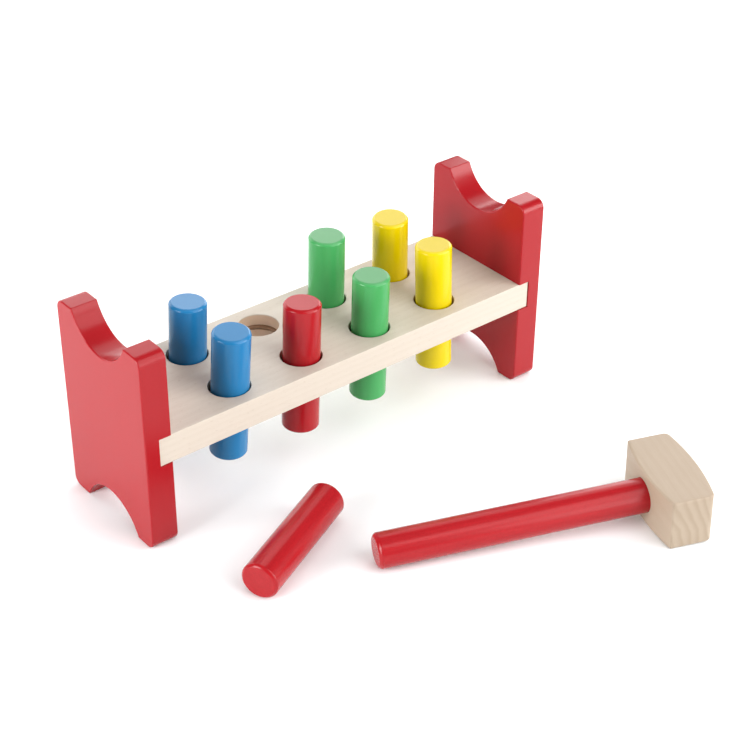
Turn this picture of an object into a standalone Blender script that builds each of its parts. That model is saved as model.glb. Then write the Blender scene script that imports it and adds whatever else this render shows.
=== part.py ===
"""Toy workbench: a wooden pounding bench with its pegs and mallet.

Metres, +Z up. The bench's length runs along X and its front faces -Y. Two painted end panels carry a
plank with two rows of holes, a rubber ring inside each hole grips the peg that stands in it, and a
spare peg and the mallet lie on the floor in front. The origin is on the floor, under the middle of
the whole set.
"""

import math

import bmesh
import bpy
from mathutils import Matrix, Vector

MM = 0.001
GAP = 0.3 * MM

# End panels: two equal boards with a wide hollow in the top and the same hollow between the feet.
BENCH_LENGTH = 290 * MM
PANEL_DEPTH = 83 * MM
PANEL_HEIGHT = 125.2 * MM
PANEL_THICKNESS = 17 * MM
PANEL_CORNER = 5.7 * MM
PANEL_EDGE = 0.8 * MM
HOLLOW_WIDTH = 52.2 * MM
HOLLOW_DEPTH = 17.2 * MM

# Plank: housed in a groove across each panel's inner face, at half the panel's height.
PLANK_THICKNESS = 18 * MM
PLANK_DEPTH = 81.6 * MM
PLANK_EDGE = 0.6 * MM
PLANK_MIDDLE = PANEL_HEIGHT / 2
GROOVE_DEPTH = 8.3 * MM

# Holes: four columns by two rows, each with a groove half way down that holds a rubber ring.
HOLE_PITCH = 50.6 * MM
ROW_PITCH = 42 * MM
HOLE_RADIUS = 12.3 * MM
RING_INNER_RADIUS = 11.5 * MM
RING_SECTION_RADIUS = 1.5 * MM
RING_RADIUS = RING_INNER_RADIUS + RING_SECTION_RADIUS
RING_GROOVE_RADIUS = RING_RADIUS + RING_SECTION_RADIUS + GAP
RING_GROOVE_WIDTH = 2 * (RING_SECTION_RADIUS + GAP)

# Pegs: lengths of painted dowel.
PEG_RADIUS = 11.1 * MM
PEG_LENGTH = 82.4 * MM
PEG_RIM = 1.8 * MM

# Hidden dowels that pin each panel to the plank's end grain.
DOWEL_RADIUS = 3 * MM
DOWEL_LENGTH = 24 * MM
DOWEL_DEPTH_IN_PANEL = 5.5 * MM
DOWEL_PITCH = 42 * MM

# Mallet: a block with one long side arched, on a round handle glued into a blind hole.
HEAD_LENGTH = 63.7 * MM
HEAD_CORNER_DEPTH = 24.9 * MM
HEAD_ARCH = 3.5 * MM
HEAD_THICKNESS = 32 * MM
HEAD_EDGE = 1.4 * MM
HANDLE_RADIUS = 10.3 * MM
HANDLE_OUT = 161.6 * MM
HANDLE_IN = 19.7 * MM
HANDLE_RIM = 2.2 * MM

ROUND_STEPS = 32
RING_STEPS = 24

COLOURS = {
    "blue": (0.045, 0.23, 0.55),
    "red": (0.58, 0.022, 0.028),
    "green": (0.065, 0.36, 0.13),
    "yellow": (0.86, 0.66, 0.045),
}
COLUMNS = ("blue", "red", "green", "yellow")
ROWS = ("front", "back")

# Each standing peg: how far its top is above the plank, and how far it leans towards +X and +Y.
# The holes are wider than the pegs, so every peg leans a little, by its own amount.
STANDING = {
    ("blue", "front"): (36.5 * MM, 1.5, -3.8),
    ("blue", "back"): (34.5 * MM, 3.0, -0.5),
    ("red", "front"): (34.6 * MM, 2.5, 0.5),
    ("green", "front"): (35.5 * MM, 0.5, -1.5),
    ("green", "back"): (44.0 * MM, 0.0, -1.8),
    ("yellow", "front"): (38.0 * MM, -1.0, 1.0),
    ("yellow", "back"): (40.4 * MM, -2.5, -2.5),
}

# What lies on the floor, from the middle of the bench: a point and a direction in degrees from +X.
LOOSE_PEG_END = Vector((-122.4, -110.3, 0)) * MM
LOOSE_PEG_TURN = 25.6
MALLET_JOINT = Vector((92.3, -190.4, 0)) * MM
MALLET_TURN = -22.7


def clear_scene():
    for obj in list(bpy.data.objects):
        bpy.data.objects.remove(obj, do_unlink=True)


def new_collection(name):
    collection = bpy.data.collections.new(name)
    bpy.context.scene.collection.children.link(collection)
    return collection


def move_to(obj, collection):
    for owner in list(obj.users_collection):
        owner.objects.unlink(obj)
    collection.objects.link(obj)
    return obj


def finish(name, colour, roughness):
    """A plain material with the given colour."""
    material = bpy.data.materials.get(name) or bpy.data.materials.new(name)
    material.use_nodes = True
    shader = material.node_tree.nodes["Principled BSDF"]
    shader.inputs["Base Color"].default_value = (*colour, 1)
    shader.inputs["Roughness"].default_value = roughness
    material.diffuse_color = (*colour, 1)
    return material


def paint(colour):
    return finish(f"{colour}_paint", COLOURS[colour], 0.3)


def natural_wood():
    return finish("natural_wood", (0.74, 0.58, 0.40), 0.55)


def grip_rubber():
    return finish("grip_rubber", (0.22, 0.13, 0.08), 0.7)


def shade_round(obj):
    obj.data.shade_smooth()
    obj.data.set_sharp_from_angle(angle=math.radians(35))


def mesh_object(name, build, material, collection):
    """A new object whose mesh the function build fills in."""
    mesh = bpy.data.meshes.new(name)
    shape = bmesh.new()
    build(shape)
    shape.to_mesh(mesh)
    shape.free()
    obj = bpy.data.objects.new(name, mesh)
    if material:
        mesh.materials.append(material)
    collection.objects.link(obj)
    return obj


def box(name, size, centre, material, collection):
    def build(shape):
        bmesh.ops.create_cube(shape, size=1)
        bmesh.ops.scale(shape, vec=size, verts=shape.verts)

    obj = mesh_object(name, build, material, collection)
    obj.location = centre
    return obj


def rod(name, radius, length, centre, axis, material, collection, steps=ROUND_STEPS):
    """A plain cylinder about an axis through centre."""

    def build(shape):
        bmesh.ops.create_cone(
            shape, cap_ends=True, segments=steps, radius1=radius, radius2=radius, depth=length
        )

    obj = mesh_object(name, build, material, collection)
    obj.rotation_mode = "QUATERNION"
    obj.rotation_quaternion = axis.to_track_quat("Z", "Y")
    obj.location = centre
    return obj


def turned(name, profile, material, collection):
    """A solid turned about its local Z axis, from (radius, height) points that run downwards."""

    def build(shape):
        points = [shape.verts.new((radius, 0, height)) for radius, height in profile]
        for upper, lower in zip(points, points[1:]):
            shape.edges.new((upper, lower))

    obj = mesh_object(name, build, material, collection)
    screw = obj.modifiers.new("turn", "SCREW")
    screw.axis = "Z"
    screw.steps = ROUND_STEPS
    screw.render_steps = ROUND_STEPS
    screw.use_merge_vertices = True
    screw.merge_threshold = 0.00001
    shade_round(obj)
    return obj


def arc(centre, radius, start, end, steps):
    """Points along an arc, both ends included, with angles in degrees."""
    turns = [math.radians(start + (end - start) * i / steps) for i in range(steps + 1)]
    return [(centre[0] + radius * math.cos(t), centre[1] + radius * math.sin(t)) for t in turns]


def slab(name, outline, thickness, material, collection):
    """A flat board: a filled 2D curve, extruded and made a mesh with its caps welded."""
    curve = bpy.data.curves.new(name, "CURVE")
    curve.dimensions = "2D"
    curve.fill_mode = "BOTH"
    curve.extrude = thickness / 2
    spline = curve.splines.new("POLY")
    spline.points.add(len(outline) - 1)
    for point, (x, y) in zip(spline.points, outline):
        point.co = (x, y, 0, 1)
    spline.use_cyclic_u = True
    guide = bpy.data.objects.new(name + "_outline", curve)
    collection.objects.link(guide)
    graph = bpy.context.evaluated_depsgraph_get()
    mesh = bpy.data.meshes.new_from_object(guide.evaluated_get(graph))
    bpy.data.objects.remove(guide, do_unlink=True)
    shape = bmesh.new()
    shape.from_mesh(mesh)
    bmesh.ops.remove_doubles(shape, verts=shape.verts, dist=0.00001)
    bmesh.ops.recalc_face_normals(shape, faces=shape.faces)
    shape.to_mesh(mesh)
    shape.free()
    mesh.name = name
    mesh.materials.clear()
    mesh.materials.append(material)
    obj = bpy.data.objects.new(name, mesh)
    collection.objects.link(obj)
    return obj


def round_edges(obj, width):
    bevel = obj.modifiers.new("eased_edges", "BEVEL")
    bevel.width = width
    bevel.segments = 1
    bevel.limit_method = "ANGLE"
    bevel.angle_limit = math.radians(40)


def cut(obj, cutter):
    boolean = obj.modifiers.new("cut_" + cutter.name, "BOOLEAN")
    boolean.operation = "DIFFERENCE"
    boolean.solver = "EXACT"
    boolean.object = cutter
    cutter.hide_render = True
    cutter.display_type = "WIRE"


def hole_place(colour, row):
    """The centre of a hole at the middle of the plank's thickness, from the middle of the bench."""
    column = COLUMNS.index(colour) - (len(COLUMNS) - 1) / 2
    side = ROWS.index(row) - 0.5
    return Vector((column * HOLE_PITCH, side * ROW_PITCH, PLANK_MIDDLE))


def panel_outline():
    """The panel seen from its end: rounded outer corners, a hollow in the top and in the foot."""
    radius = (HOLLOW_WIDTH**2 / 4 + HOLLOW_DEPTH**2) / (2 * HOLLOW_DEPTH)
    half = math.degrees(math.asin(HOLLOW_WIDTH / 2 / radius))
    centre = PANEL_HEIGHT / 2 - HOLLOW_DEPTH + radius
    side = PANEL_DEPTH / 2 - PANEL_CORNER
    top = PANEL_HEIGHT / 2 - PANEL_CORNER
    return (
        arc((0, centre), radius, 270 + half, 270 - half, 14)
        + arc((-side, top), PANEL_CORNER, 90, 180, 4)
        + arc((-side, -top), PANEL_CORNER, 180, 270, 4)
        + arc((0, -centre), radius, 90 + half, 90 - half, 14)
        + arc((side, -top), PANEL_CORNER, 270, 360, 4)
        + arc((side, top), PANEL_CORNER, 0, 90, 4)
    )


def dowel_places(side):
    """The middle of each dowel at one end of the bench; side is -1 on the left, 1 on the right."""
    bottom_of_groove = BENCH_LENGTH / 2 - PANEL_THICKNESS + GROOVE_DEPTH
    x = side * (bottom_of_groove + DOWEL_DEPTH_IN_PANEL - DOWEL_LENGTH / 2)
    return {
        row: Vector((x, (ROWS.index(row) - 0.5) * DOWEL_PITCH, PLANK_MIDDLE)) for row in ROWS
    }


def make_dowels(side_name, side, parts, cutters):
    """The hidden dowels of one end, and the holes they need in the plank and in the panel."""
    bores = []
    for row, place in dowel_places(side).items():
        name = f"panel_dowel_{side_name}_{row}"
        axis = Vector((1, 0, 0))
        rod(name, DOWEL_RADIUS, DOWEL_LENGTH, place, axis, natural_wood(), parts, steps=16)
        bore_size = (DOWEL_RADIUS + GAP, DOWEL_LENGTH + 2 * GAP)
        bores.append(rod(name + "_bore", *bore_size, place, axis, None, cutters, steps=16))
    return bores


def make_panel(side_name, side, bores, parts, cutters):
    panel = slab(f"end_panel_{side_name}", panel_outline(), PANEL_THICKNESS, paint("red"), parts)
    # The outline's x and y become the bench's Y and Z.
    panel.matrix_world = Matrix(((0, 0, 1, 0), (1, 0, 0, 0), (0, 1, 0, 0), (0, 0, 0, 1)))
    panel.location = (side * (BENCH_LENGTH - PANEL_THICKNESS) / 2, 0, PANEL_HEIGHT / 2)
    round_edges(panel, PANEL_EDGE)
    inner_face = BENCH_LENGTH / 2 - PANEL_THICKNESS
    middle = side * (inner_face + GROOVE_DEPTH / 2 - PANEL_THICKNESS / 2)
    size = (GROOVE_DEPTH + PANEL_THICKNESS, PANEL_DEPTH * 1.2, PLANK_THICKNESS + 2 * GAP)
    cut(panel, box(f"groove_{side_name}", size, (middle, 0, PLANK_MIDDLE), None, cutters))
    for bore in bores:
        cut(panel, bore)
    return panel


def make_plank(bores, parts, cutters):
    length = BENCH_LENGTH - 2 * (PANEL_THICKNESS - GROOVE_DEPTH) - 2 * GAP
    size = (length, PLANK_DEPTH, PLANK_THICKNESS)
    plank = box("bench_plank", size, (0, 0, PLANK_MIDDLE), natural_wood(), parts)
    round_edges(plank, PLANK_EDGE)
    reach = PLANK_THICKNESS
    groove = RING_GROOVE_WIDTH / 2
    profile = (
        (0, reach),
        (HOLE_RADIUS, reach),
        (HOLE_RADIUS, groove),
        (RING_GROOVE_RADIUS, groove),
        (RING_GROOVE_RADIUS, -groove),
        (HOLE_RADIUS, -groove),
        (HOLE_RADIUS, -reach),
        (0, -reach),
    )
    for colour in COLUMNS:
        for row in ROWS:
            hole = turned(f"hole_{colour}_{row}", profile, None, cutters)
            hole.location = hole_place(colour, row)
            cut(plank, hole)
    for bore in bores:
        cut(plank, bore)
    return plank


def make_grip_rings(parts):
    for colour in COLUMNS:
        for row in ROWS:
            bpy.ops.mesh.primitive_torus_add(
                major_radius=RING_RADIUS,
                minor_radius=RING_SECTION_RADIUS,
                major_segments=RING_STEPS,
                minor_segments=6,
                location=hole_place(colour, row),
            )
            ring = move_to(bpy.context.object, parts)
            ring.name = f"grip_ring_{colour}_{row}"
            ring.data.materials.append(grip_rubber())
            shade_round(ring)


def make_peg(name, colour, middle, axis, parts):
    """A peg whose origin is at the middle of its length, on its own axis."""
    top = PEG_LENGTH / 2
    profile = (
        (0, top),
        (PEG_RADIUS - PEG_RIM, top),
        (PEG_RADIUS, top - PEG_RIM),
        (PEG_RADIUS, PEG_RIM - top),
        (PEG_RADIUS - PEG_RIM, -top),
        (0, -top),
    )
    peg = turned(name, profile, paint(colour), parts)
    peg.rotation_mode = "QUATERNION"
    peg.rotation_quaternion = axis.to_track_quat("Z", "Y")
    peg.location = middle
    return peg


def lean_axis(lean_x, lean_y):
    """A nearly upright direction that leans by these angles, in degrees, towards +X and +Y."""
    x = math.sin(math.radians(lean_x))
    y = math.sin(math.radians(lean_y))
    return Vector((x, y, math.sqrt(1 - x * x - y * y)))


def make_standing_pegs(parts):
    for (colour, row), (above_plank, lean_x, lean_y) in STANDING.items():
        axis = lean_axis(lean_x, lean_y)
        # The axis crosses the middle of the hole, so the peg clears the hole all the way through.
        rise = (PLANK_THICKNESS / 2 + above_plank) / axis.z
        middle = hole_place(colour, row) + axis * (rise - PEG_LENGTH / 2)
        make_peg(f"peg_{colour}_{row}", colour, middle, axis, parts)


def make_loose_peg(parts):
    turn = math.radians(LOOSE_PEG_TURN)
    axis = Vector((math.cos(turn), math.sin(turn), 0))
    middle = LOOSE_PEG_END + axis * PEG_LENGTH / 2 + Vector((0, 0, PEG_RADIUS))
    make_peg("peg_red_loose", "red", middle, axis, parts)


def head_outline():
    """The mallet's head seen from its side: x along the handle, y along the striking axis."""
    radius = (HEAD_LENGTH**2 / 4 + HEAD_ARCH**2) / (2 * HEAD_ARCH)
    half = math.degrees(math.asin(HEAD_LENGTH / 2 / radius))
    near = (radius - HEAD_ARCH, 0)
    far = (HEAD_CORNER_DEPTH + HEAD_ARCH - radius, 0)
    return arc(near, radius, 180 - half, 180 + half, 12) + arc(far, radius, -half, half, 12)


def make_mallet(parts, cutters):
    """The mallet lies on its side. The head is thicker than the handle, so the handle slopes down."""
    rest_length = HANDLE_OUT - HANDLE_RIM - HEAD_ARCH
    slope = math.atan((HEAD_THICKNESS / 2 - HANDLE_RADIUS) / rest_length)
    joint = bpy.data.objects.new("mallet_joint", None)
    parts.objects.link(joint)
    height = HEAD_THICKNESS / 2 * math.cos(slope) + HEAD_ARCH * math.sin(slope)
    joint.location = MALLET_JOINT + Vector((0, 0, height))
    joint.rotation_euler = (0, -slope, math.radians(MALLET_TURN))

    head = slab("mallet_head", head_outline(), HEAD_THICKNESS, natural_wood(), parts)
    head.parent = joint
    round_edges(head, HEAD_EDGE)
    along = Vector((1, 0, 0))
    depth = HANDLE_IN + GAP
    bore_size = (HANDLE_RADIUS + GAP, 2 * depth)
    bore = rod("handle_bore", *bore_size, (0, 0, 0), along, None, cutters)
    bore.parent = joint
    cut(head, bore)

    inner_rim = 1.0 * MM
    profile = (
        (0, HANDLE_IN),
        (HANDLE_RADIUS - inner_rim, HANDLE_IN),
        (HANDLE_RADIUS, HANDLE_IN - inner_rim),
        (HANDLE_RADIUS, HANDLE_RIM - HANDLE_OUT),
        (HANDLE_RADIUS - HANDLE_RIM, -HANDLE_OUT),
        (0, -HANDLE_OUT),
    )
    handle = turned("mallet_handle", profile, paint("red"), parts)
    handle.rotation_mode = "QUATERNION"
    handle.rotation_quaternion = along.to_track_quat("Z", "Y")
    handle.parent = joint


def lowest_and_highest(objects):
    """The corners of the box round the evaluated meshes."""
    bpy.context.view_layer.update()
    graph = bpy.context.evaluated_depsgraph_get()
    points = []
    for obj in objects:
        evaluated = obj.evaluated_get(graph)
        mesh = evaluated.to_mesh()
        points += [evaluated.matrix_world @ vertex.co for vertex in mesh.vertices]
        evaluated.to_mesh_clear()
    low = Vector([min(p[i] for p in points) for i in range(3)])
    high = Vector([max(p[i] for p in points) for i in range(3)])
    return low, high


def centre_the_set(parts, cutters):
    """Moves everything together so that the origin is on the floor under the middle of the set."""
    frame = bpy.data.objects.new("set_frame", None)
    low, high = lowest_and_highest([obj for obj in parts.objects if obj.type == "MESH"])
    for obj in list(parts.objects) + list(cutters.objects):
        if obj.parent is None:
            obj.parent = frame
    parts.objects.link(frame)
    frame.location = -Vector(((low.x + high.x) / 2, (low.y + high.y) / 2, low.z))


def main():
    clear_scene()
    parts = new_collection("toy_workbench")
    cutters = new_collection("cutters")
    all_bores = []
    for side_name, side in (("left", -1), ("right", 1)):
        bores = make_dowels(side_name, side, parts, cutters)
        make_panel(side_name, side, bores, parts, cutters)
        all_bores += bores
    make_plank(all_bores, parts, cutters)
    make_grip_rings(parts)
    make_standing_pegs(parts)
    make_loose_peg(parts)
    make_mallet(parts, cutters)
    centre_the_set(parts, cutters)


main()
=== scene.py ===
# %% [markdown]
# # A wooden pounding bench
#
# Two red end panels carry a pale plank with two rows of holes. A rubber ring inside each hole grips
# a painted peg, and a child drives the pegs through with a small wooden mallet. One spare peg and
# the mallet lie in front of the bench.
#
# The packed CAD model gives every size and place. This script keeps them, and makes the surfaces
# that a camera sees: turned and eased edges, drilled wood, enamel paint and bare maple.

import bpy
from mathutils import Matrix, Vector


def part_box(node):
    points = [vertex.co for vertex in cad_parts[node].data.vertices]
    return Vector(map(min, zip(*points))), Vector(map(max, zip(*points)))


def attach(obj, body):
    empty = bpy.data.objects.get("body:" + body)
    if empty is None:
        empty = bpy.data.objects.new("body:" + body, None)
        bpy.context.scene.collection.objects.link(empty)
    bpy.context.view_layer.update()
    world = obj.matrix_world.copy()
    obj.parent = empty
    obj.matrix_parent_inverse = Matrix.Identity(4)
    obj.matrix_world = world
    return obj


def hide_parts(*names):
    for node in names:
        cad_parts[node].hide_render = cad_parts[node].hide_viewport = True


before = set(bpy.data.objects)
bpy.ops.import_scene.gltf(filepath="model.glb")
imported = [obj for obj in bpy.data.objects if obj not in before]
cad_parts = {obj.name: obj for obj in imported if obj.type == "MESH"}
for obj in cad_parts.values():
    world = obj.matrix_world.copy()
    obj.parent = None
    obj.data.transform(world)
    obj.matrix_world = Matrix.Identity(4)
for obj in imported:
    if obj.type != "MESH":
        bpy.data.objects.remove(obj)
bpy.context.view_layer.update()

# %% [markdown]
# ## Units and measuring
#
# Blender works in metres, and a toy is designed in millimetres, so one constant turns one into the
# other. A turned piece needs its axis, its middle, its length and its radius. They could be typed
# in again, but then two files could disagree. Here they are measured on the CAD node instead: the
# long axis of a rod is the direction in which its points spread most.

# %% Measure a CAD node
import math

import bmesh
import bpy
import numpy as np
from mathutils import Matrix, Vector

MM = 0.001
RIGHT = Vector((1, 0, 0))
BACK = Vector((0, 1, 0))
UP = Vector((0, 0, 1))


def node_points(node):
    """The corners of a CAD node's mesh, each taken once, as an array."""
    corners = [vertex.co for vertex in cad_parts[node].data.vertices]
    return np.unique(np.round(np.array(corners, float), 6), axis=0)


def extent(node, direction):
    """The lowest and highest place of a node along a direction."""
    along = node_points(node) @ np.array(direction)
    return along.min(), along.max()


def reach(node, direction):
    """How long a node is along a direction, in millimetres."""
    low, high = extent(node, direction)
    return float(high - low) / MM


def long_axis(node):
    """The direction in which a node is longest, pointing up, or to the right if it lies flat."""
    points = node_points(node)
    spread = np.cov((points - points.mean(0)).T)
    _, directions = np.linalg.eigh(spread)
    axis = Vector(directions[:, -1])
    lies_flat = abs(axis.z) < 0.5
    leading = axis.x if lies_flat else axis.z
    return axis if leading > 0 else -axis


def measure_rod(node):
    """A round node's middle, axis, length and radius."""
    axis = long_axis(node)
    low, high = extent(node, axis)
    points = node_points(node)
    centre = Vector(points.mean(0))
    middle = centre + axis * ((low + high) / 2 - centre.dot(axis))
    offsets = points - np.array(middle)
    across = offsets - np.outer(offsets @ np.array(axis), np.array(axis))
    radius = float(np.linalg.norm(across, axis=1).max())
    return {"middle": middle, "axis": axis, "length": high - low, "radius": radius}


for node in ("peg_red_loose", "mallet_handle"):
    rod = measure_rod(node)
    print(node, "length", round(rod["length"] / MM, 1), "radius", round(rod["radius"] / MM, 1))

# %% [markdown]
# ## The camera
#
# The bench is looked at from its left front corner, from about a third of the way up the sky. A
# long lens keeps the two panels nearly parallel. The camera could be aimed with a constraint, but
# its matrix is short to write: one axis points back at the camera, one to its right and one up,
# turned by the small tilt of a hand-held tripod head.

# %% Place the camera
CAMERA_AZIMUTH = math.radians(-39.469)
CAMERA_ELEVATION = math.radians(33.266)
CAMERA_ROLL = math.radians(0.543)
CAMERA_DISTANCE = 0.96627
CAMERA_TARGET = Vector((-0.010177, 0.023852, 0.076717))
LENS = 82.57
SENSOR = 36


def viewing_direction(azimuth, elevation):
    """From the target to a viewer: azimuth 0 stands in front of the bench, at -Y."""
    level = math.cos(elevation)
    return Vector((math.sin(azimuth) * level, -math.cos(azimuth) * level, math.sin(elevation)))


def add_camera():
    lens = bpy.data.cameras.new("camera")
    lens.lens = LENS
    lens.sensor_width = SENSOR
    camera = bpy.data.objects.new("camera", lens)
    bpy.context.scene.collection.objects.link(camera)
    back = viewing_direction(CAMERA_AZIMUTH, CAMERA_ELEVATION)
    right = Vector((0, 0, 1)).cross(back).normalized()
    turned = Matrix((right, back.cross(right), back)).transposed().to_4x4()
    roll = Matrix.Rotation(CAMERA_ROLL, 4, "Z")
    camera.matrix_world = Matrix.Translation(CAMERA_TARGET + back * CAMERA_DISTANCE) @ turned @ roll
    bpy.context.scene.camera = camera
    return camera


camera = add_camera()
print("camera at", tuple(round(value, 3) for value in camera.matrix_world.translation))

# %% [markdown]
# ## The studio
#
# A toy is sold on a bright white sweep. Broad soft boxes stand round it: their size makes the
# shadows soft, and the paint shows them as pale, wide reflections. Most of them stand low and
# light the upright faces. The one overhead only fills, and is kept out of the reflections. The
# colours have to stay as bright as painted, so the view transform is the plain one, without a
# film curve.

# %% Light the set
FLOOR_SIZE = 30
FLOOR_WHITE = (0.93, 0.955, 0.96)
SKY_STRENGTH = 0.08

# name: azimuth and elevation in degrees, width and height in metres, power in watts
SOFT_BOXES = {
    "right": (45, 18, 0.8, 0.8, 15.5),
    "front": (10, 18, 0.8, 0.8, 9.0),
    "front_high": (25, 50, 1.3, 0.8, 9.8),
    "left": (-95, 18, 0.8, 0.8, 25.0),
    "back_left": (-165, 18, 0.8, 0.8, 6.0),
    "back": (160, 18, 0.9, 0.8, 5.5),
    "back_right": (118, 18, 0.9, 0.8, 9.0),
    "back_high": (149, 45, 1.35, 0.8, 6.3),
    "overhead": (0, 85, 1.2, 1.2, 7.0),
}
SOFT_BOX_DISTANCE = 1.5
NOT_REFLECTED = "overhead"


def add_soft_box(name, azimuth, elevation, width, height, power):
    """A rectangular lamp that faces the middle of the set."""
    lamp = bpy.data.lights.new(name, "AREA")
    lamp.shape = "RECTANGLE"
    lamp.size = width
    lamp.size_y = height
    lamp.energy = power
    box = bpy.data.objects.new(name, lamp)
    bpy.context.scene.collection.objects.link(box)
    back = viewing_direction(math.radians(azimuth), math.radians(elevation))
    box.matrix_world = back.to_track_quat("Z", "Y").to_matrix().to_4x4()
    box.location = back * SOFT_BOX_DISTANCE
    box.visible_glossy = name != NOT_REFLECTED


def add_sky(strength):
    world = bpy.data.worlds.new("white_studio")
    world.use_nodes = True
    background = world.node_tree.nodes["Background"]
    background.inputs["Color"].default_value = (1.0, 1.0, 1.0, 1.0)
    background.inputs["Strength"].default_value = strength
    bpy.context.scene.world = world


add_sky(SKY_STRENGTH)
for name, values in SOFT_BOXES.items():
    add_soft_box(name, *values)
bpy.context.scene.view_settings.view_transform = "Standard"
print("soft boxes:", ", ".join(SOFT_BOXES))

# %% [markdown]
# ## Wiring nodes from Python
#
# Materials and Geometry Nodes are both node trees. Wiring them by hand takes three lines a node,
# and the formula behind them is lost. A small class round a socket lets an ordinary expression such
# as `1 - mask * 0.3` add its Math nodes, and one method adds every other kind of node.

# %% The wire and the board
VECTOR_KINDS = ("VECTOR", "RGBA")
# A Mix node has a socket of every name for each kind of value. These are the colours' numbers.
COLOUR_INPUTS = (0, 6, 7)
COLOUR_RESULT = 2


class Wire:
    """A node's output. Python's operators on it add Math nodes to its tree."""

    def __init__(self, board, socket):
        self.board = board
        self.socket = socket

    def is_vector(self):
        return self.socket.type in VECTOR_KINDS

    def __add__(self, other):
        return self.board.maths("ADD", self, other)

    def __sub__(self, other):
        return self.board.maths("SUBTRACT", self, other)

    def __rsub__(self, other):
        return self.board.maths("SUBTRACT", other, self)

    def __mul__(self, other):
        return self.board.maths("MULTIPLY", self, other)

    def __truediv__(self, other):
        return self.board.maths("DIVIDE", self, other)

    def __pow__(self, other):
        return self.board.maths("POWER", self, other)

    def __gt__(self, other):
        return self.board.maths("GREATER_THAN", self, other)

    __radd__ = __add__
    __rmul__ = __mul__


class Board:
    """A node tree that is being wired."""

    def __init__(self, tree):
        self.tree = tree

    def feed(self, socket, value):
        """Links a wire to a socket, or types a plain value into it."""
        if isinstance(value, Wire):
            self.tree.links.new(value.socket, socket)
        else:
            socket.default_value = value

    def node(self, kind, inputs=None, output=0, **settings):
        """Adds a node: first its settings, then its inputs. Returns one of its outputs."""
        made = self.tree.nodes.new(kind)
        for name, value in settings.items():
            setattr(made, name, value)
        for name, value in (inputs or {}).items():
            self.feed(made.inputs[name], value)
        return Wire(self, made.outputs[output]) if made.outputs else made

    def maths(self, operation, *values):
        """One Math node, or one Vector Math node if a vector goes in."""
        wires = [value for value in values if isinstance(value, Wire)]
        if not any(wire.is_vector() for wire in wires):
            return self.node("ShaderNodeMath", dict(enumerate(values)), operation=operation)
        if operation == "MULTIPLY" and isinstance(values[1], (int, float)):
            stretch = {"Vector": values[0], "Scale": values[1]}
            return self.node("ShaderNodeVectorMath", stretch, operation="SCALE")
        return self.node("ShaderNodeVectorMath", dict(enumerate(values)), operation=operation)

    def mix(self, factor, a, b):
        """Mixes two colours: all of a at factor 0, and all of b at 1."""
        inputs = dict(zip(COLOUR_INPUTS, (factor, a, b)))
        return self.node("ShaderNodeMix", inputs, COLOUR_RESULT, data_type="RGBA")

    def stretch(self, place, *scale):
        """The same place with its three axes scaled. A small scale draws a pattern out."""
        return self.node("ShaderNodeMapping", {"Vector": place, "Scale": scale})

    def noise(self, place, scale, detail=2.0, roughness=0.5):
        """A cloudy pattern from 0 to 1, mostly near 0.5."""
        inputs = {"Vector": place, "Scale": scale, "Detail": detail, "Roughness": roughness}
        return self.node("ShaderNodeTexNoise", inputs, "Fac")

    def ramp(self, value, low, high):
        """0 below low, 1 above high, and a smooth change between."""
        inputs = {"Value": value, "From Min": low, "From Max": high}
        return self.node("ShaderNodeMapRange", inputs, interpolation_type="SMOOTHSTEP")


print("a board adds:", [name for name in vars(Board) if not name.startswith("_")])

# %% [markdown]
# ## Where a point is in the wood
#
# Grain runs along each piece, however the piece lies. If the materials read plain object
# coordinates, a leaning peg would have its grain at a slant. So each piece stores a place for each
# point: two distances across the grain, then the distance along it. The same materials then fit a
# plank along X, a panel along Z and a mallet that lies askew. A rod also stores how near a point
# is to its flat ends, where the paint is greyed as a painted sheen.

# %% Start and end a finish
GRAIN_PLACE = "grain_place"
END_FACE = "end_face"


def start_finish(name):
    """A new material and its empty board."""
    material = bpy.data.materials.new(name)
    material.use_nodes = True
    material.node_tree.nodes.clear()
    return material, Board(material.node_tree)


def place_in_wood(board):
    """The place that each point of a piece stores, in millimetres."""
    stored = board.node("ShaderNodeAttribute", {}, "Vector", attribute_name=GRAIN_PLACE)
    return stored * (1 / MM)


def end_finish(board, colour, roughness, height, depth, **constants):
    """The shader: what varies goes in by wire, and a constant is set on the socket itself.
    height is the relief's pattern, and depth is how far a height of 1 stands out."""
    bump = {"Height": height, "Distance": depth, "Strength": 1.0}
    inputs = {
        "Base Color": colour,
        "Roughness": roughness,
        "Normal": board.node("ShaderNodeBump", bump),
    }
    for name, value in constants.items():
        inputs[name.replace("_", " ")] = value
    surface = board.node("ShaderNodeBsdfPrincipled", inputs)
    board.node("ShaderNodeOutputMaterial", {"Surface": surface})


def opaque(colour):
    """A colour with full alpha, as the sockets take it."""
    return (*colour, 1.0)


def tinted(colour, amount):
    """A colour made darker or lighter by a factor."""
    return opaque([min(1.0, channel * amount) for channel in colour])


# %% [markdown]
# ## Floor
#
# The sweep is matte white card. A flat white would do for the camera, but a faint tooth keeps
# the soft shadows from looking like a fog. The floor isn't part of the toy, so it is staged.

# %% Lay the floor
TOOTH_PER_METRE = 900.0
TOOTH_DEPTH = 0.01 * MM
CARD_ROUGHNESS = 0.85


def card_finish():
    material, board = start_finish("white_card")
    place = board.node("ShaderNodeTexCoord", {}, "Object")
    tooth = board.noise(place, TOOTH_PER_METRE)
    white = board.mix(tooth, tinted(FLOOR_WHITE, 0.985), opaque(FLOOR_WHITE))
    end_finish(board, white, CARD_ROUGHNESS, tooth, TOOTH_DEPTH)
    return material


def lay_floor():
    bpy.ops.mesh.primitive_plane_add(size=FLOOR_SIZE)
    floor = bpy.context.object
    floor.name = "floor"
    floor.data.materials.append(card_finish())
    return floor


print("floor:", tuple(lay_floor().dimensions))
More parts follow.
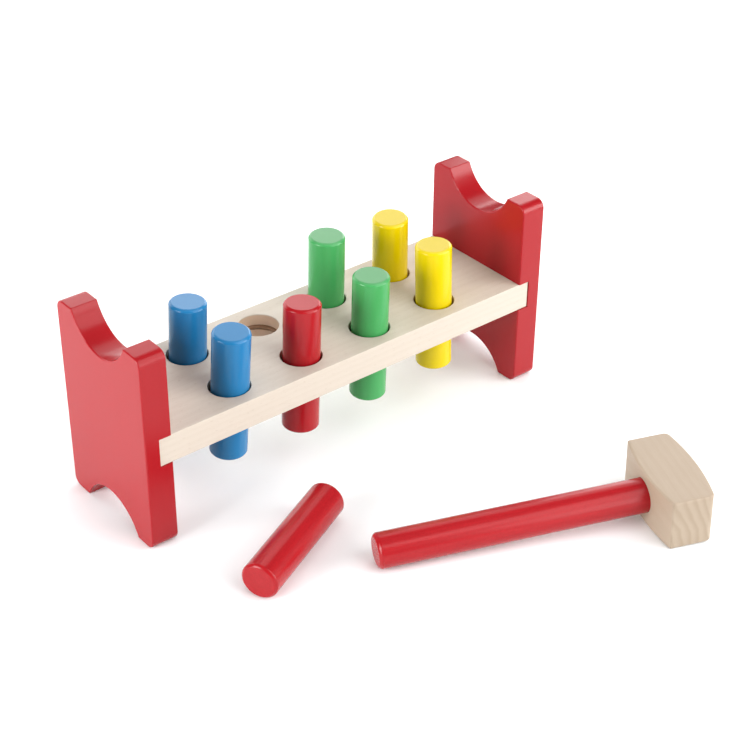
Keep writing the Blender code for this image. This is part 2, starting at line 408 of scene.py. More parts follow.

# %% [markdown]
# ## Enamel paint
#
# The panels and pegs are dipped or sprayed in a thin glossy enamel. A flat colour looks like
# plastic. On wood the film sinks a little into the grain, pools and thins from place to place, and
# dries with a fine orange peel. So the colour varies by a few percent along the grain, the gloss
# varies with it, and two sizes of ripple bend the reflections. On the spare peg and the mallet's
# handle the coat is thin, and the grain shows through as darker and lighter streaks. The green,
# yellow and blue pegs are greyed on their flat ends, a painted sheen of the lamps they reflect.

# %% Enamel
PAINT_SHINE = 0.27
PANEL_ROUGHNESS = 0.22
PEG_ROUGHNESS = 0.17
THIN_ROUGHNESS = 0.22
STREAK_STRENGTH = 0.4
PAINT_DEPTH = 0.035 * MM
# Painted sheen: the grey that a rod's flat ends are mixed towards, for the lamps that they reflect.
PAINTED_SHEEN_GREY = (0.28, 0.28, 0.28)


def enamel(name, colour, roughness, show_grain=0.1, painted_end_sheen=0.0):
    """Paint on wood. show_grain is how far the wood shows through, and the last number how far a
    rod's flat ends are greyed, a painted sheen of the lamps they reflect; both from 0 to 1."""
    material, board = start_finish(name)
    place = place_in_wood(board)
    along = board.stretch(place, 1.0, 1.0, 0.045)
    fibres = board.noise(along, 1.9, 4.0, 0.65)
    streaks = board.noise(along, 0.42, 3.0, 0.6)
    pools = board.noise(place, 0.06, 2.0)
    peel = board.noise(place, 1.6, 1.0)
    waves = board.noise(along, 0.16, 1.0)

    thin = board.ramp(streaks * 0.6 + fibres * 0.4, 0.36, 0.64)
    speckle = board.ramp(board.noise(place, 0.9, 3.0, 0.7), 0.38, 0.62)
    body = board.mix(pools, tinted(colour, 0.97), tinted(colour, 1.03))
    change = STREAK_STRENGTH * show_grain
    darker, lighter = tinted(colour, 1 - change), tinted(colour, 1 + change)
    streaked = board.mix(thin, darker, lighter)
    speckled = board.mix(speckle, darker, lighter)
    even_paint = board.mix(0.5, body, board.mix(0.5, streaked, speckled))
    end_face = board.node("ShaderNodeAttribute", {}, "Fac", attribute_name=END_FACE)
    # Painted sheen: near a rod's flat ends the paint is mixed towards grey, in place of the
    # reflected lamps.
    paint = board.mix(end_face * painted_end_sheen, even_paint, opaque(PAINTED_SHEEN_GREY))

    uneven = roughness + (pools - 0.5) * 0.05 + (fibres - 0.5) * 0.15 * show_grain
    height = fibres * 0.5 * show_grain + peel * 0.12 + waves * 0.4
    end_finish(board, paint, uneven, height, PAINT_DEPTH, Specular_IOR_Level=PAINT_SHINE)
    return material


RED = (0.345, 0.009, 0.013)
PANEL_RED = (0.325, 0.008, 0.012)
BLUE = (0.015, 0.168, 0.375)
GREEN = (0.056, 0.318, 0.092)
YELLOW = (0.660, 0.500, 0.001)

red_panel = enamel("red_panel_enamel", PANEL_RED, PANEL_ROUGHNESS)
peg_paints = {
    "red": enamel("red_enamel", RED, PEG_ROUGHNESS),
    # The blue, green and yellow pegs get a painted sheen on their flat ends.
    "blue": enamel("blue_enamel", BLUE, PEG_ROUGHNESS, painted_end_sheen=0.08),
    "green": enamel("green_enamel", GREEN, PEG_ROUGHNESS, painted_end_sheen=0.25),
    "yellow": enamel("yellow_enamel", YELLOW, PEG_ROUGHNESS, painted_end_sheen=0.18),
}
thin_red = enamel("thin_red_enamel", RED, THIN_ROUGHNESS, show_grain=0.5)
print("paints:", ", ".join(sorted(peg_paints)), "and", thin_red.name)

# %% [markdown]
# ## Bare maple
#
# The plank and the mallet's head are unpainted maple, nearly white. A tree grows in shells, so
# its growth rings are cylinders round a pith that was somewhere outside the piece. A board cut
# from them shows long faint lines on its faces and arcs on its ends, and both come from one formula:
# the distance to the pith line. Fine fibres, short ray flecks and slow changes of tone go on top.

# %% Maple
PALE_MAPLE = {"light": (0.575, 0.510, 0.435), "dark": (0.490, 0.415, 0.335)}
TAN_MAPLE = {"light": (0.395, 0.310, 0.230), "dark": (0.305, 0.230, 0.160)}
MAPLE_FLECK = (0.30, 0.210, 0.135)
BORED_MAPLE = (0.63, 0.440, 0.290)
FIBRE_DEPTH = 0.05 * MM
SKIN = 0.4  # millimetres


def deep_inside(board, coordinate, length):
    """0 in the skin at either end of a length, and 1 deeper in than a second skin."""
    from_middle = board.node("ShaderNodeMath", {0: coordinate}, operation="ABSOLUTE")
    return 1 - board.ramp(from_middle, length / 2 - 2 * SKIN, length / 2 - SKIN)


def maple(name, wood, pith, size, ring_width, contrast, end_contrast, raw_bores):
    """Bare wood. pith is the tree's middle, across the grain, and size is the block's, both in
    millimetres. The rings show with one contrast on the long faces and another on the ends.
    raw_bores is how much browner the wood is inside the block, where a drill has opened it."""
    material, board = start_finish(name)
    place = place_in_wood(board)
    along = board.stretch(place, 1.0, 1.0, 0.04)
    wander = board.noise(along, 0.05, 2.0)
    fibres = board.noise(along, 2.6, 4.0, 0.7)
    tone = board.noise(along, 0.035, 1.0)
    flecks = board.ramp(board.noise(board.stretch(place, 1.0, 1.0, 0.22), 1.5, 1.0), 0.66, 0.74)

    from_pith = place * (1.0, 1.0, 0.0) - (*pith, 0.0)
    distance = board.node("ShaderNodeVectorMath", {0: from_pith}, "Value", operation="LENGTH")
    years = (distance + wander * 8) / ring_width
    season = board.node("ShaderNodeMath", {0: years}, operation="FRACT")
    late_wood = board.ramp(season, 0.15, 0.75) * (1 - board.ramp(season, 0.75, 1.0))
    sides = [board.node("ShaderNodeSeparateXYZ", {"Vector": place}, axis) for axis in "XYZ"]
    inner = [deep_inside(board, side, length) for side, length in zip(sides, size)]
    bored = inner[0] * inner[1] * inner[2]
    strength = end_contrast + inner[2] * (contrast - end_contrast)

    shade = late_wood * strength + (fibres - 0.5) * 0.55 + (tone - 0.5) * 0.5 + 0.22
    grained = board.mix(shade, opaque(wood["light"]), opaque(wood["dark"]))
    walled = board.mix(bored * (fibres * 0.6 + 0.45) * raw_bores, grained, opaque(BORED_MAPLE))
    flecked = board.mix(flecks * 0.2, walled, opaque(MAPLE_FLECK))
    roughness = 0.50 + (fibres - 0.5) * 0.2 + late_wood * 0.04
    height = fibres * 0.8 + late_wood * 0.3 - flecks * 0.3
    end_finish(board, flecked, roughness, height, FIBRE_DEPTH)
    return material


plank_maple = maple(
    "plank_maple",
    PALE_MAPLE,
    pith=(70, -120),
    size=[reach("bench_plank", direction) for direction in (BACK, UP, RIGHT)],
    ring_width=3.4,
    contrast=0.16,
    end_contrast=0.5,
    raw_bores=1.0,
)
print("pale wood:", plank_maple.name)

# %% [markdown]
# ## Grip rubber
#
# A ring of brown natural rubber sits half way down each hole and holds the peg. Only the one in
# the empty hole shows. Dusty rubber is matte and slightly mottled.

# %% Rubber
LIGHT_RUBBER = (0.35, 0.205, 0.115)
DARK_RUBBER = (0.23, 0.125, 0.065)
DUST_DEPTH = 0.03 * MM


def grip_rubber():
    material, board = start_finish("brown_rubber")
    place = place_in_wood(board)
    mottle = board.noise(place, 0.8, 3.0)
    dust = board.noise(place, 4.0, 2.0)
    brown = board.mix(mottle, opaque(DARK_RUBBER), opaque(LIGHT_RUBBER))
    end_finish(board, brown, 0.62 + (dust - 0.5) * 0.2, dust, DUST_DEPTH)
    return material


brown_rubber = grip_rubber()
print("rubber:", brown_rubber.name)

# %% [markdown]
# ## Shared workshop helpers
#
# Each piece is modelled in place, so its object stays at the origin. Modifiers do the machining,
# and at the end the evaluated mesh replaces the live one. Weighted normals come last: they let
# the big flat faces win over the narrow eased edges, which is what makes an eased edge look
# machined and not inflated.

# %% Make a piece, settle it and polish it
SMOOTH_UP_TO = math.radians(38)
LARGE_FACES_WIN = 100


def new_piece(name, shape):
    """An object at the origin from a bmesh, which is used up."""
    bmesh.ops.recalc_face_normals(shape, faces=shape.faces)
    mesh = bpy.data.meshes.new(name)
    shape.to_mesh(mesh)
    shape.free()
    piece = bpy.data.objects.new(name, mesh)
    bpy.context.scene.collection.objects.link(piece)
    return piece


def settle(piece):
    """Turns a piece and its live modifiers into a plain mesh."""
    graph = bpy.context.evaluated_depsgraph_get()
    mesh = bpy.data.meshes.new_from_object(
        piece.evaluated_get(graph), preserve_all_data_layers=True, depsgraph=graph
    )
    piece.modifiers.clear()
    piece.data = mesh
    mesh.name = piece.name
    return piece


def polish(piece, finish):
    """Its one finish, smooth shading with crisp corners, and normals that follow large faces."""
    piece.data.materials.clear()
    piece.data.materials.append(finish)
    piece.data.shade_smooth()
    piece.data.set_sharp_from_angle(angle=SMOOTH_UP_TO)
    weighted = piece.modifiers.new("weighted_normals", "WEIGHTED_NORMAL")
    weighted.keep_sharp = True
    weighted.weight = LARGE_FACES_WIN
    return settle(piece)


def mark_grain(piece, middle, across, along):
    """Stores where each point is in the wood: two distances across the grain, one along it."""
    turn = np.array((across, along.cross(across), along))
    places = np.array([vertex.co for vertex in piece.data.vertices]) - np.array(middle)
    attribute = piece.data.attributes.new(GRAIN_PLACE, "FLOAT_VECTOR", "POINT")
    attribute.data.foreach_set("vector", (places @ turn.T).astype(np.float32).ravel())


def hand_over(piece, body, slot, *nodes):
    """Tells the frame which body carries the piece, and which CAD nodes it stands for."""
    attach(piece, body)
    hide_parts(*nodes)
    piece.data.calc_loop_triangles()
    print(piece.name, "on", body, "with", len(piece.data.loop_triangles), "triangles")


# %% [markdown]
# ## Geometry Nodes helpers
#
# What repeats or follows a rule is made with Geometry Nodes. Each tree is built with named inputs,
# so that one tree serves many pieces. A modifier's inputs are set by the sockets' identifiers,
# before Blender evaluates the object. The holes and the rings share one grid.

# %% Start, end and use a pattern
def start_pattern(name, **kinds):
    """A new tree with named inputs: its board, and the inputs' wires by name."""
    tree = bpy.data.node_groups.new(name, "GeometryNodeTree")
    tree.interface.new_socket("Geometry", in_out="INPUT", socket_type="NodeSocketGeometry")
    for label, kind in kinds.items():
        title = label.replace("_", " ")
        tree.interface.new_socket(title, in_out="INPUT", socket_type="NodeSocket" + kind)
    tree.interface.new_socket("Geometry", in_out="OUTPUT", socket_type="NodeSocketGeometry")
    board = Board(tree)
    entry = tree.nodes.new("NodeGroupInput")
    return board, {socket.name: Wire(board, socket) for socket in entry.outputs if socket.name}


def end_pattern(board, geometry, finish):
    """Every tree ends with real geometry that carries its finish."""
    real = board.node("GeometryNodeRealizeInstances", {"Geometry": geometry})
    done = board.node("GeometryNodeSetMaterial", {"Geometry": real, "Material": finish})
    board.node("NodeGroupOutput", {"Geometry": done})
    return board.tree


def use_pattern(piece, tree, **values):
    """Puts a tree on a piece as a modifier, with its inputs filled in by name."""
    modifier = piece.modifiers.new(tree.name, "NODES")
    modifier.node_group = tree
    for item in tree.interface.items_tree:
        label = item.name.replace(" ", "_")
        if label in values:
            modifier[item.identifier] = values[label]


GRID_INPUTS = {"Columns": "Int", "Rows": "Int", "Column_Pitch": "Float", "Row_Pitch": "Float"}


def regular_grid(board, size):
    """Columns by rows of points, round the origin, in the XY plane."""
    return board.node(
        "GeometryNodeMeshGrid",
        {
            "Size X": (size["Columns"] - 1) * size["Column Pitch"],
            "Size Y": (size["Rows"] - 1) * size["Row Pitch"],
            "Vertices X": size["Columns"],
            "Vertices Y": size["Rows"],
        },
    )


# %% [markdown]
# ## The boring machine
#
# Four columns by two rows of holes, a wider seat for the rubber ring inside each of them, the
# dowel holes in the ends and the mallet's blind socket are all the same act: a drill on a regular
# grid. One tree puts a cylinder on every point of a grid, turns the whole grid to face any way
# and cuts it out of the piece that goes in.

# %% Bore a grid of holes
BORE_SIDES = 128


def boring_machine():
    """A tree that drills a grid of holes, along any direction, out of what goes in."""
    board, size = start_pattern(
        "bore_grid",
        **GRID_INPUTS,
        Radius="Float",
        Depth="Float",
        Middle="Vector",
        Direction="Vector",
        Finish="Material",
    )
    grid = regular_grid(board, size)
    drill = board.node(
        "GeometryNodeMeshCylinder",
        {"Vertices": BORE_SIDES, "Radius": size["Radius"], "Depth": size["Depth"]},
    )
    drills = board.node("GeometryNodeInstanceOnPoints", {"Points": grid, "Instance": drill})
    turn = board.node(
        "FunctionNodeAlignRotationToVector", {"Vector": size["Direction"]}, axis="Z"
    )
    aimed = board.node(
        "GeometryNodeTransform",
        {"Geometry": drills, "Translation": size["Middle"], "Rotation": turn},
    )
    cutters = board.node("GeometryNodeRealizeInstances", {"Geometry": aimed})
    bored = board.node(
        "GeometryNodeMeshBoolean",
        {"Mesh 1": size["Geometry"], "Mesh 2": cutters},
        operation="DIFFERENCE",
        solver="EXACT",
    )
    return end_pattern(board, bored, size["Finish"])


bore_grid = boring_machine()
print("bore_grid nodes:", len(bore_grid.nodes))

# %% [markdown]
# ## The turned rod
#
# Pegs and the mallet's handle are lengths of dowel whose rims are sanded to a soft chamfer. A
# Screw modifier on a profile would turn one too. Here a tree does it, because nine pieces share
# the rule: a circle swept along a short line of rings, each with its own height and radius. The
# rings crowd at both ends, where a quarter turn carries the flat end into the side. Raising the
# sine and cosine to a power flattens that quarter circle towards a chamfer. Each ring also stores
# whether it bounds a flat end, and the value fades out over the next few rings.

# %% Turn a rod
ROD_SIDES = 96
RIM_RINGS = 7
RIM_SOFTNESS = 1.35
END_FADE_RINGS = 5


def rod_lathe():
    """A tree that makes one rod with softened rims, and stores its grain and its end faces."""
    board, size = start_pattern(
        "turned_rod",
        Radius="Float",
        Length="Float",
        Rim="Float",
        Middle="Vector",
        Direction="Vector",
        Grain_Start="Vector",
        Finish="Material",
    )
    last = 2 * RIM_RINGS + 1
    line = board.node("GeometryNodeCurvePrimitiveLine", {})
    rings = board.node("GeometryNodeResampleCurve", {"Curve": line, "Count": last + 1})

    index = board.node("GeometryNodeInputIndex", {})
    from_end = board.maths("MINIMUM", index, last - index)
    angle = from_end * (math.pi / 2 / RIM_RINGS)
    side = (index > RIM_RINGS) * 2 - 1
    rise = board.maths("MAXIMUM", board.node("ShaderNodeMath", {0: angle}, operation="COSINE"), 0)
    swing = board.node("ShaderNodeMath", {0: angle}, operation="SINE")
    height = side * (size["Length"] / 2 - size["Rim"] * (1 - rise**RIM_SOFTNESS))
    radius = size["Radius"] - size["Rim"] * (1 - swing**RIM_SOFTNESS)

    place = board.node("ShaderNodeCombineXYZ", {"Z": height})
    path = board.node("GeometryNodeSetPosition", {"Geometry": rings, "Position": place})
    # This nearness to a flat end is the mask of the painted sheen on the pegs' ends.
    nearness = 1 - board.maths("MINIMUM", from_end / END_FADE_RINGS, 1)
    ends = board.node(
        "GeometryNodeStoreNamedAttribute",
        {"Geometry": path, "Name": END_FACE, "Value": nearness},
        data_type="FLOAT",
    )
    circle = board.node(
        "GeometryNodeCurvePrimitiveCircle", {"Resolution": ROD_SIDES, "Radius": 1.0}
    )
    rod = board.node(
        "GeometryNodeCurveToMesh",
        {"Curve": ends, "Profile Curve": circle, "Scale": radius, "Fill Caps": True},
    )
    here = board.node("GeometryNodeInputPosition", {})
    marked = board.node(
        "GeometryNodeStoreNamedAttribute",
        {"Geometry": rod, "Name": GRAIN_PLACE, "Value": here + size["Grain Start"]},
        data_type="FLOAT_VECTOR",
    )
    turn = board.node(
        "FunctionNodeAlignRotationToVector", {"Vector": size["Direction"]}, axis="Z"
    )
    placed = board.node(
        "GeometryNodeTransform",
        {"Geometry": marked, "Translation": size["Middle"], "Rotation": turn},
    )
    return end_pattern(board, placed, size["Finish"])


turned_rod = rod_lathe()
print("turned_rod nodes:", len(turned_rod.nodes))

# %% [markdown]
# ## Plank
#
# The plank starts as a plain board. It is bored through in a four by two grid, and a wider,
# shorter bore half way down each hole makes the seat of the rubber ring. The Bevel modifier comes
# after the boring, so that it eases the rims of the holes along with the board's own edges, just
# as a light sanding does.

# %% Bore and sand the plank
HOLE_RADIUS = 12.3 * MM
THROUGH = 60 * MM  # any length well over the thickness
SEAT_CLEARANCE = 0.3 * MM
PLANK_EDGE = 0.45 * MM
EASED_FROM = math.radians(50)
COLUMNS = ("blue", "red", "green", "yellow")
ROWS = ("front", "back")


def middle_of(node):
    low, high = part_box(node)
    return (low + high) / 2


def hole_grid():
    """The holes' grid, measured from the rings in its first and last hole."""
    first = middle_of("grip_ring_blue_front")
    last = middle_of("grip_ring_yellow_back")
    return {
        "Columns": len(COLUMNS),
        "Rows": len(ROWS),
        "Column_Pitch": (last.x - first.x) / (len(COLUMNS) - 1),
        "Row_Pitch": last.y - first.y,
        "Middle": (first + last) / 2,
    }


def ring_size():
    """A ring's outer radius and its thickness."""
    low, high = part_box("grip_ring_blue_front")
    return (high.x - low.x) / 2, high.z - low.z


def board_between(name, low, high):
    """A plain board from its lowest to its highest corner."""
    shape = bmesh.new()
    bmesh.ops.create_cube(shape, size=1)
    bmesh.ops.scale(shape, vec=high - low, verts=shape.verts)
    bmesh.ops.translate(shape, vec=(low + high) / 2, verts=shape.verts)
    return new_piece(name, shape)


def ease_edges(piece, width, segments=3):
    """Rounds every crisp edge."""
    bevel = piece.modifiers.new("eased_edges", "BEVEL")
    bevel.width = width
    bevel.segments = segments
    bevel.limit_method = "ANGLE"
    bevel.angle_limit = EASED_FROM


def bore_dowel_holes(piece, side_name, finish):
    """The two blind holes for the dowels that pin a panel to the plank's end."""
    dowels = [measure_rod(f"panel_dowel_{side_name}_{row}") for row in ROWS]
    middles = [dowel["middle"] for dowel in dowels]
    use_pattern(
        piece,
        bore_grid,
        Columns=1,
        Rows=2,
        Row_Pitch=(middles[1] - middles[0]).length,
        Radius=dowels[0]["radius"] + SEAT_CLEARANCE,
        Depth=dowels[0]["length"] + 2 * SEAT_CLEARANCE,
        Middle=(middles[0] + middles[1]) / 2,
        Direction=RIGHT,
        Finish=finish,
    )


def make_plank():
    plank = board_between("plank", *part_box("bench_plank"))
    ring_radius, ring_thickness = ring_size()
    machining = {**hole_grid(), "Direction": UP, "Finish": plank_maple}
    use_pattern(plank, bore_grid, Radius=HOLE_RADIUS, Depth=THROUGH, **machining)
    use_pattern(
        plank,
        bore_grid,
        Radius=ring_radius + SEAT_CLEARANCE,
        Depth=ring_thickness + 2 * SEAT_CLEARANCE,
        **machining,
    )
    for side_name in ("left", "right"):
        bore_dowel_holes(plank, side_name, plank_maple)
    ease_edges(plank, PLANK_EDGE)
    settle(plank)
    mark_grain(plank, middle_of("bench_plank"), BACK, RIGHT)
    return polish(plank, plank_maple)


plank = make_plank()
hand_over(plank, "bench", "natural_wood", "bench_plank")

# %% [markdown]
# ## Grip rings
#
# The eight rings are one mesh, because they all stay with the plank. A tree sweeps a small circle
# round a large one and puts the ring on each point of the same grid as the holes.

# %% Mould the rings
RING_SIDES = 96
RING_SECTION_SIDES = 16


def ring_mould():
    """A tree that puts a ring of round section on every point of a grid."""
    board, size = start_pattern(
        "ring_grid",
        **GRID_INPUTS,
        Radius="Float",
        Section_Radius="Float",
        Middle="Vector",
        Finish="Material",
    )
    grid = regular_grid(board, size)
    loop = board.node(
        "GeometryNodeCurvePrimitiveCircle", {"Resolution": RING_SIDES, "Radius": size["Radius"]}
    )
    section = board.node(
        "GeometryNodeCurvePrimitiveCircle",
        {"Resolution": RING_SECTION_SIDES, "Radius": size["Section Radius"]},
    )
    ring = board.node("GeometryNodeCurveToMesh", {"Curve": loop, "Profile Curve": section})
    rings = board.node("GeometryNodeInstanceOnPoints", {"Points": grid, "Instance": ring})
    placed = board.node(
        "GeometryNodeTransform", {"Geometry": rings, "Translation": size["Middle"]}
    )
    return end_pattern(board, placed, size["Finish"])


def make_rings():
    rings = new_piece("grip_rings", bmesh.new())
    radius, thickness = ring_size()
    use_pattern(
        rings,
        ring_mould(),
        Radius=radius - thickness / 2,
        Section_Radius=thickness / 2,
        Finish=brown_rubber,
        **hole_grid(),
    )
    settle(rings)
    mark_grain(rings, middle_of("grip_ring_blue_front"), RIGHT, UP)
    return polish(rings, brown_rubber)


rings = make_rings()
ring_nodes = [f"grip_ring_{colour}_{row}" for colour in COLUMNS for row in ROWS]
hand_over(rings, "bench", "grip_rubber", *ring_nodes)

# %% [markdown]
# ## End panels
#
# Both panels are sawn from one pattern: a board with rounded corners and the same wide hollow in
# its top and in its foot. The outline is drawn with arcs and given the board's thickness. The
# edges of the two broad faces are eased more than the creases where a hollow meets a horn, so
# each edge carries a weight for the Bevel modifier. The groove for the plank is cut last and
# stays crisp, and the dowel holes are bored from it.

# %% Saw the panels
PANEL_CORNER = 5.7 * MM
HOLLOW_WIDTH = 52.2 * MM
HOLLOW_DEPTH = 17.2 * MM
PANEL_EDGE = 0.85 * MM
CREASE_SHARE = 0.45
CREASE_ANGLE = math.radians(30)
GROOVE_FIT = 0.08 * MM
HOLLOW_STEPS = 56
CORNER_STEPS = 12


def arc(centre, radius, start, end, steps):
    """Points on an arc, from one angle to another, in degrees."""
    angles = [math.radians(start + (end - start) * step / steps) for step in range(steps + 1)]
    return [
        (centre[0] + radius * math.cos(angle), centre[1] + radius * math.sin(angle))
        for angle in angles
    ]


def panel_outline(width, height):
    """Seen from the bench's end: rounded corners, a hollow in the top and one in the foot."""
    radius = (HOLLOW_WIDTH**2 / 4 + HOLLOW_DEPTH**2) / (2 * HOLLOW_DEPTH)
    half = math.degrees(math.asin(HOLLOW_WIDTH / 2 / radius))
    centre = height / 2 - HOLLOW_DEPTH + radius
    side = width / 2 - PANEL_CORNER
    top = height / 2 - PANEL_CORNER
    return (
        arc((0, centre), radius, 270 + half, 270 - half, HOLLOW_STEPS)
        + arc((-side, top), PANEL_CORNER, 90, 180, CORNER_STEPS)
        + arc((-side, -top), PANEL_CORNER, 180, 270, CORNER_STEPS)
        + arc((0, -centre), radius, 90 + half, 90 - half, HOLLOW_STEPS)
        + arc((side, -top), PANEL_CORNER, 270, 360, CORNER_STEPS)
        + arc((side, top), PANEL_CORNER, 0, 90, CORNER_STEPS)
    )


def slab(name, outline, thickness, place, crease_share):
    """A flat outline with a thickness, put in place, its edges weighted for easing. The two broad
    faces are the only ones with more than four corners, which is how their rims are found."""
    shape = bmesh.new()
    face = shape.faces.new([shape.verts.new((x, y, -thickness / 2)) for x, y in outline])
    made = bmesh.ops.extrude_face_region(shape, geom=[face])
    raised = [item for item in made["geom"] if isinstance(item, bmesh.types.BMVert)]
    bmesh.ops.translate(shape, vec=(0, 0, thickness), verts=raised)
    bmesh.ops.recalc_face_normals(shape, faces=shape.faces)
    weight = shape.edges.layers.float.new("bevel_weight_edge")
    for edge in shape.edges:
        is_rim = any(len(near.verts) > 4 for near in edge.link_faces)
        is_crease = edge.calc_face_angle() > CREASE_ANGLE
        edge[weight] = 1.0 if is_rim else crease_share * is_crease
    bmesh.ops.transform(shape, matrix=place, verts=shape.verts)
    return new_piece(name, shape)


def ease_weighted(piece, width, segments=4):
    """Rounds each edge by its own weight."""
    bevel = piece.modifiers.new("eased_edges", "BEVEL")
    bevel.width = width
    bevel.segments = segments
    bevel.limit_method = "WEIGHT"


def cut_away(piece, cutter):
    """Cuts one piece out of another and throws the cutter away."""
    difference = piece.modifiers.new("cut", "BOOLEAN")
    difference.object = cutter
    difference.operation = "DIFFERENCE"
    settle(piece)
    bpy.data.objects.remove(cutter)


def make_panel(side_name):
    node = f"end_panel_{side_name}"
    low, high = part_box(node)
    middle = (low + high) / 2
    # The outline's x and y become the bench's Y and Z, and the thickness runs along X.
    stand = Matrix(((0, 0, 1, middle.x), (1, 0, 0, middle.y), (0, 1, 0, middle.z), (0, 0, 0, 1)))
    outline = panel_outline(high.y - low.y, high.z - low.z)
    panel = slab(f"panel_{side_name}", outline, high.x - low.x, stand, CREASE_SHARE)
    panel.data.materials.append(red_panel)
    ease_weighted(panel, PANEL_EDGE)
    plank_low, plank_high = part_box("bench_plank")
    room = Vector((GROOVE_FIT, high.y - low.y, GROOVE_FIT))
    cut_away(panel, board_between("groove", plank_low - room, plank_high + room))
    bore_dowel_holes(panel, side_name, red_panel)
    settle(panel)
    mark_grain(panel, middle, BACK, UP)
    return polish(panel, red_panel)


for side_name in ("left", "right"):
    panel = make_panel(side_name)
    hand_over(panel, "bench", "red_paint", f"end_panel_{side_name}")

# %% [markdown]
# ## Pegs
#
# The eight pegs are equal lengths of dowel. Each stands in its own hole at its own height and
# leans a little, as a child leaves them, so each rides on its own body. One tree turns them all,
# with a different stretch of grain for each.

# %% Turn the pegs
PEG_RIM = 1.8 * MM
GRAIN_STEP = 37 * MM
PEGS = {
    "blue_front": "blue",
    "blue_back": "blue",
    "red_front": "red",
    "green_front": "green",
    "green_back": "green",
    "yellow_front": "yellow",
    "yellow_back": "yellow",
    "red_loose": "red",
}


def turn_rod(name, node, rim, grain_start, finish):
    """A turned rod in the place of a round CAD node."""
    rod = measure_rod(node)
    piece = new_piece(name, bmesh.new())
    use_pattern(
        piece,
        turned_rod,
        Radius=rod["radius"],
        Length=rod["length"],
        Rim=rim,
        Middle=rod["middle"],
        Direction=rod["axis"],
        Grain_Start=grain_start,
        Finish=finish,
    )
    return polish(settle(piece), finish)


for number, (place, colour) in enumerate(PEGS.items(), start=1):
    node = f"peg_{place}"
    paint = thin_red if place == "red_loose" else peg_paints[colour]
    start = Vector((number * GRAIN_STEP, 0, number * GRAIN_STEP))
    peg = turn_rod(f"turned_peg_{place}", node, PEG_RIM, start, paint)
    hand_over(peg, node, f"{colour}_paint", node)

# %% [markdown]
# ## Mallet
#
# The head is a maple block with a gently arched near and far side, and the handle enters at the
# top of the near arch. The grain runs from one striking face to the other, so those faces show
# end grain. The handle is a length of slightly thinner dowel, glued into a blind socket. It gives
# the head its three directions: along the handle, along the grain, and through the thickness.
# Easing such short corner facets pushes a few points together, and a Weld modifier joins them.

# %% Shape the head and turn the handle
HEAD_ARCH = 3.5 * MM
HEAD_EDGE = 1.3 * MM
ARCH_STEPS = 40
NEAR_CORNER = 1.0 * MM
FAR_CORNER = 3.2 * MM
HANDLE_RIM = 2.2 * MM
SOCKET_CLEARANCE = 0.12 * MM
WELD_REACH = 0.005 * MM


def arch_inset(y, half, corner):
    """How far a long side lies behind its apex: a gentle arch, then a rounded corner."""
    past = max(0.0, abs(y) - (half - corner)) / corner
    fall = corner * (1 - math.sqrt(max(0.0, 1 - past**2)))
    return HEAD_ARCH * (y / half) ** 2 + fall


def head_outline(length, depth):
    """Seen from above: the near side touches x = 0, and the striking faces lie along x."""
    half = length / 2
    turns = [math.pi / 2 * (2 * step / ARCH_STEPS - 1) for step in range(ARCH_STEPS + 1)]
    places = [half * math.sin(turn) for turn in turns]
    near = [(arch_inset(y, half, NEAR_CORNER), y) for y in reversed(places)]
    far = [(depth - arch_inset(y, half, FAR_CORNER), y) for y in places]
    return near + far


def head_directions():
    """Along the handle, from one striking face to the other, and through the thickness."""
    along = long_axis("mallet_handle")
    striking = UP.cross(along).normalized()
    return along, striking, along.cross(striking)


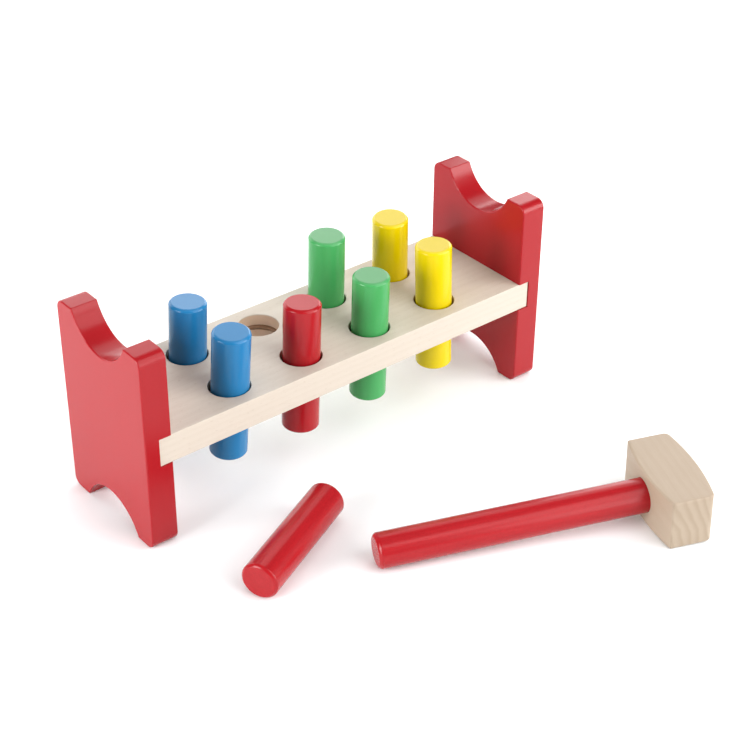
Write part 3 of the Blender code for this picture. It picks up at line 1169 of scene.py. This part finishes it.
def make_head():
    handle = measure_rod("mallet_handle")
    directions = head_directions()
    along, striking, thickness = directions
    spans = [extent("mallet_head", direction) for direction in directions]
    depth, length, height = (high - low for low, high in spans)
    near_side = along * spans[0][0]
    near_middle = near_side + striking * sum(spans[1]) / 2 + thickness * sum(spans[2]) / 2
    lie = Matrix(directions).transposed().to_4x4()
    lie.translation = near_middle
    head = slab("mallet_block", head_outline(length, depth), height, lie, crease_share=1.0)
    head.data.materials.append(head_maple)
    ease_weighted(head, HEAD_EDGE, segments=5)
    use_pattern(
        head,
        bore_grid,
        Columns=1,
        Rows=1,
        Radius=handle["radius"] + SOCKET_CLEARANCE,
        Depth=handle["length"] + 2 * SOCKET_CLEARANCE,
        Middle=handle["middle"],
        Direction=along,
        Finish=head_maple,
    )
    weld = head.modifiers.new("weld", "WELD")
    weld.merge_threshold = WELD_REACH
    settle(head)
    mark_grain(head, near_middle, along, striking)
    return polish(head, head_maple)


along, striking, thickness = head_directions()
head_maple = maple(
    "mallet_maple",
    TAN_MAPLE,
    pith=(-140, 55),
    size=[reach("mallet_head", direction) for direction in (along, thickness, striking)],
    ring_width=5.2,
    contrast=0.08,
    end_contrast=0.5,
    raw_bores=0.0,
)
head = make_head()
hand_over(head, "mallet", "natural_wood", "mallet_head")
handle = turn_rod("turned_handle", "mallet_handle", HANDLE_RIM, Vector((0, 0, 0)), thin_red)
hand_over(handle, "mallet", "red_paint", "mallet_handle")

# %% [markdown]
# ## Hidden dowels
#
# Four short dowels pin the panels to the plank. Nobody sees them in the finished toy, but the part
# can be taken apart, so they get their own plain beech. Their CAD shape is already right and
# stays. A CAD node stores no place in the wood, so this finish reads object coordinates, turned so
# that the grain runs along X.

# %% Finish the dowels
LIGHT_BEECH = (0.80, 0.61, 0.42)
DARK_BEECH = (0.66, 0.46, 0.29)
BEECH_FLECK = (0.42, 0.25, 0.13)


def beech_dowel():
    material, board = start_finish("beech_dowel")
    place = board.node("ShaderNodeTexCoord", {}, "Object") * (1 / MM)
    along = board.stretch(place, 0.05, 1.0, 1.0)
    fibres = board.noise(along, 1.8, 4.0, 0.7)
    flecks = board.ramp(board.noise(along, 3.5, 1.0), 0.6, 0.7)
    wood = board.mix(fibres, opaque(DARK_BEECH), opaque(LIGHT_BEECH))
    flecked = board.mix(flecks * 0.4, wood, opaque(BEECH_FLECK))
    end_finish(board, flecked, 0.6 + (fibres - 0.5) * 0.2, fibres, FIBRE_DEPTH)
    return material


dowel_finish = beech_dowel()
for side_name in ("left", "right"):
    for row in ROWS:
        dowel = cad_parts[f"panel_dowel_{side_name}_{row}"]
        dowel.data.materials.clear()
        dowel.data.materials.append(dowel_finish)
        print(dowel.name, "finished in", dowel_finish.name)

# %% [markdown]
